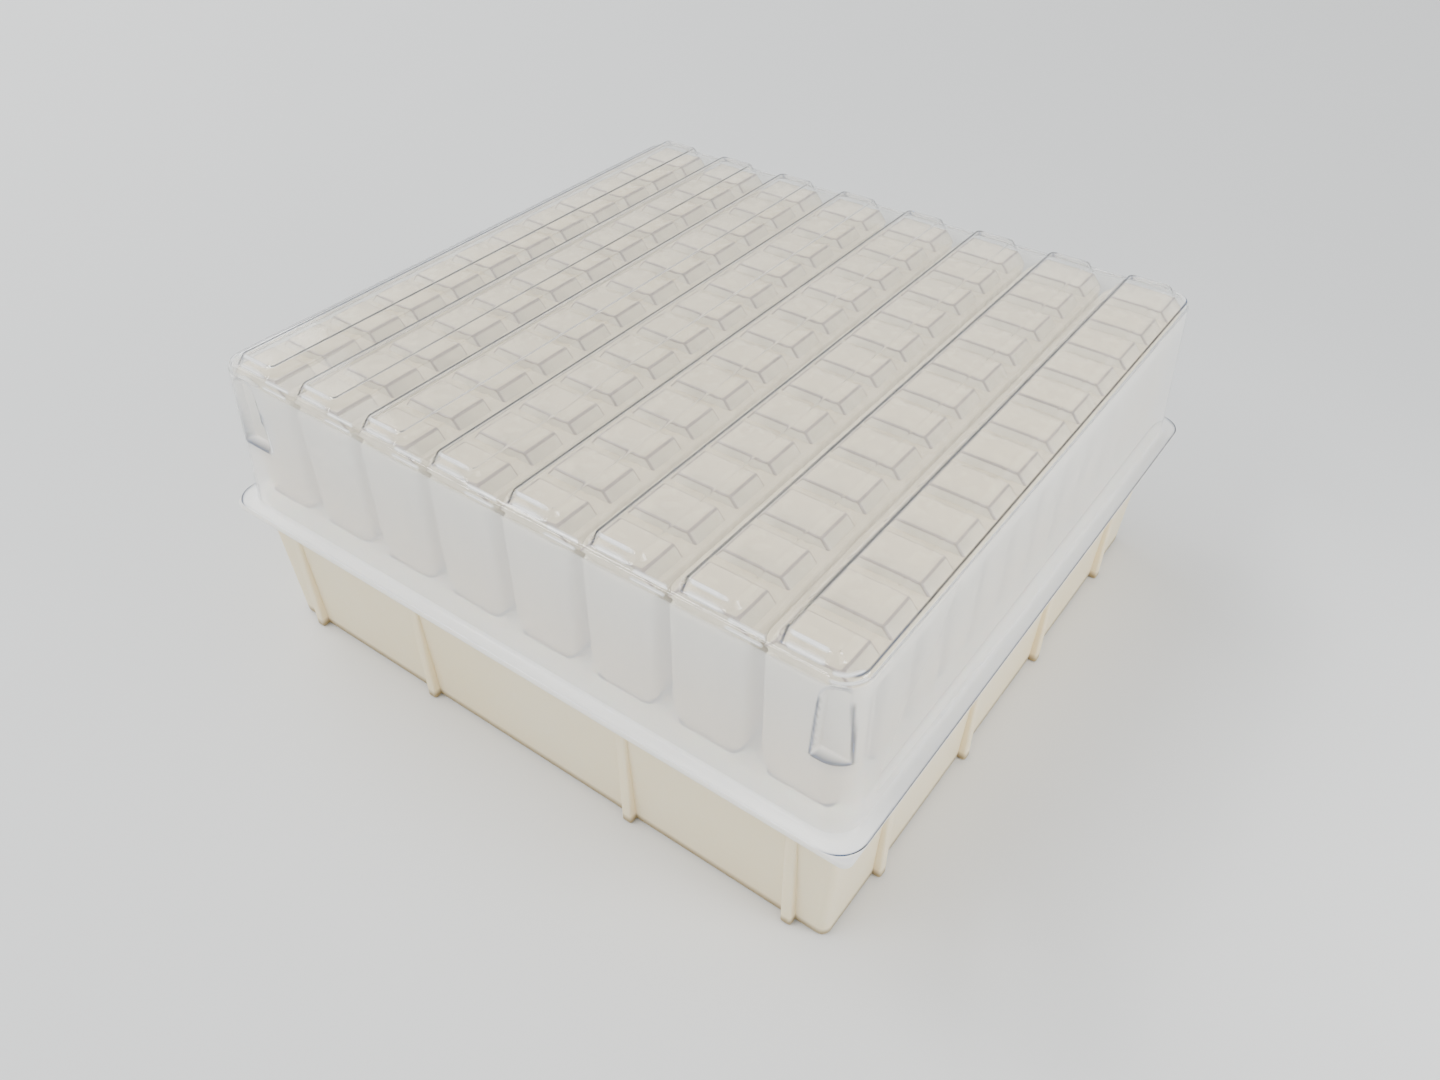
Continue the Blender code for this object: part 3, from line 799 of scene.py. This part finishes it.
def build_floor():
    bm = bmesh.new()
    bmesh.ops.create_grid(bm, x_segments=2, y_segments=2, size=BENCH_HALF_SIZE)
    floor = new_object("bench", bm, [bench_top()])
    floor.location.z = -BENCH_DROP


def add_area(name, location, target, size, power):
    """A white rectangular lamp that faces target. size is in metres, power in watts."""
    data = bpy.data.lights.new(name, "AREA")
    data.shape = "RECTANGLE"
    data.size, data.size_y = size
    data.energy = power
    light = bpy.data.objects.new(name, data)
    light.location = location
    light.rotation_euler = (Vector(target) - Vector(location)).to_track_quat("-Z", "Y").to_euler()
    bpy.context.scene.collection.objects.link(light)


def build_room_light():
    """Even pale light from all round, brighter at the horizon than overhead."""
    world = bpy.data.worlds.new("room")
    world.use_nodes = True
    tree = world.node_tree
    sky = tree.nodes["Background"]
    coords = tree.nodes.new("ShaderNodeTexCoord")
    split = tree.nodes.new("ShaderNodeSeparateXYZ")
    level = tree.nodes.new("ShaderNodeMapRange")
    level.inputs["From Min"].default_value = 0.0
    level.inputs["From Max"].default_value = 1.0
    level.inputs["To Min"].default_value = ROOM_AT_HORIZON
    level.inputs["To Max"].default_value = ROOM_OVERHEAD
    tree.links.new(coords.outputs["Generated"], split.inputs["Vector"])
    tree.links.new(split.outputs["Z"], level.inputs["Value"])
    tree.links.new(level.outputs["Result"], sky.inputs["Strength"])
    sky.inputs["Color"].default_value = (*ROOM_COLOR, 1.0)
    bpy.context.scene.world = world


def build_lamps():
    """Soft lamps from above, the right and the front, and two strips for the lid's reflections."""
    add_area("ceiling_panel", (-1.3, 0.2, 1.0), (-0.3, 0.2, 0), (1.2, 1.2), 16.0)
    add_area("side_panel", (0.9, -0.1, 0.4), (0.05, 0, 0.01), (0.7, 0.5), 1.6)
    add_area("side_glow", (0.30, 0.02, 0.16), (0.085, 0.0, 0.0), (0.12, 0.08), 0.10)
    bpy.data.lights["side_glow"].spread = math.radians(75)
    add_area("front_fill", (-0.6, -0.9, 0.45), (0, 0, 0.03), (1.0, 0.5), 1.6)
    for name in ("ceiling_panel", "front_fill"):
        bpy.data.objects[name].visible_glossy = False
    add_area("strip_near", (-0.9, -0.5, 1.6), (0, 0, 0), (1.6, 0.12), 14.0)
    add_area("strip_far", (-1.1, -1.6, 1.6), (0, 0, 0), (1.6, 0.12), 16.0)


def build_camera():
    azimuth, elevation = math.radians(CAMERA_AZIMUTH), math.radians(CAMERA_ELEVATION)
    data = bpy.data.cameras.new("camera")
    data.sensor_width = SENSOR_WIDTH
    data.lens = CAMERA_LENS
    camera = bpy.data.objects.new("camera", data)
    camera.location = CAMERA_PLACE
    back = Vector((math.sin(azimuth) * math.cos(elevation), -math.cos(azimuth) * math.cos(elevation),
                   math.sin(elevation)))
    camera.rotation_euler = (-back).to_track_quat("-Z", "Y").to_euler()
    data.clip_start = 0.01
    bpy.context.scene.collection.objects.link(camera)
    bpy.context.scene.camera = camera


# ---------------------------------------------------------------- assembly

tub = build_tub(cream_plastic())
rack = build_rack(white_plastic())
for piece, node, slot in ((tub, "base_tub", "cream_polypropylene"),
                          (rack, "rack_plate", "white_polypropylene")):
    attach(piece, "base")
    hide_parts(node)

# painted light: the tubes turn warmer towards the bottom, for the cream light the tub casts up on them
tube_look = milky_plastic("milky_tubes", (0.97, 0.90, 0.74), (0.99, 0.94, 0.80), 0.35, 0.65,
                          foot=(0.99, 0.82, 0.53))
# painted light: the caps' tops are a darker tan and their upright faces paler, evening out how the light
# falls on them
cap_look = milky_plastic("milky_caps_look", (0.83, 0.73, 0.54), (0.88, 0.78, 0.60), 0.25, 0.5,
                         painted_side_light=(0.98, 0.92, 0.78))
# painted shade: dark edge faces draw shade lines round each cap
cap_edge_shade_look = milky_plastic("milky_cap_edge_shade", (0.28, 0.24, 0.22), (0.35, 0.30, 0.27), 0.25, 0.85)
spread_rows(tube_strip_mesh(tube_look), "tubes_row_", "tube_strip_")
spread_rows(cap_strip_mesh(cap_look, cap_edge_shade_look), "caps_row_", "cap_strip_")

lid = build_lid(clear_sheet())
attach(lid, "lid")
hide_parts("clear_lid")

build_floor()
build_room_light()
build_lamps()
build_camera()
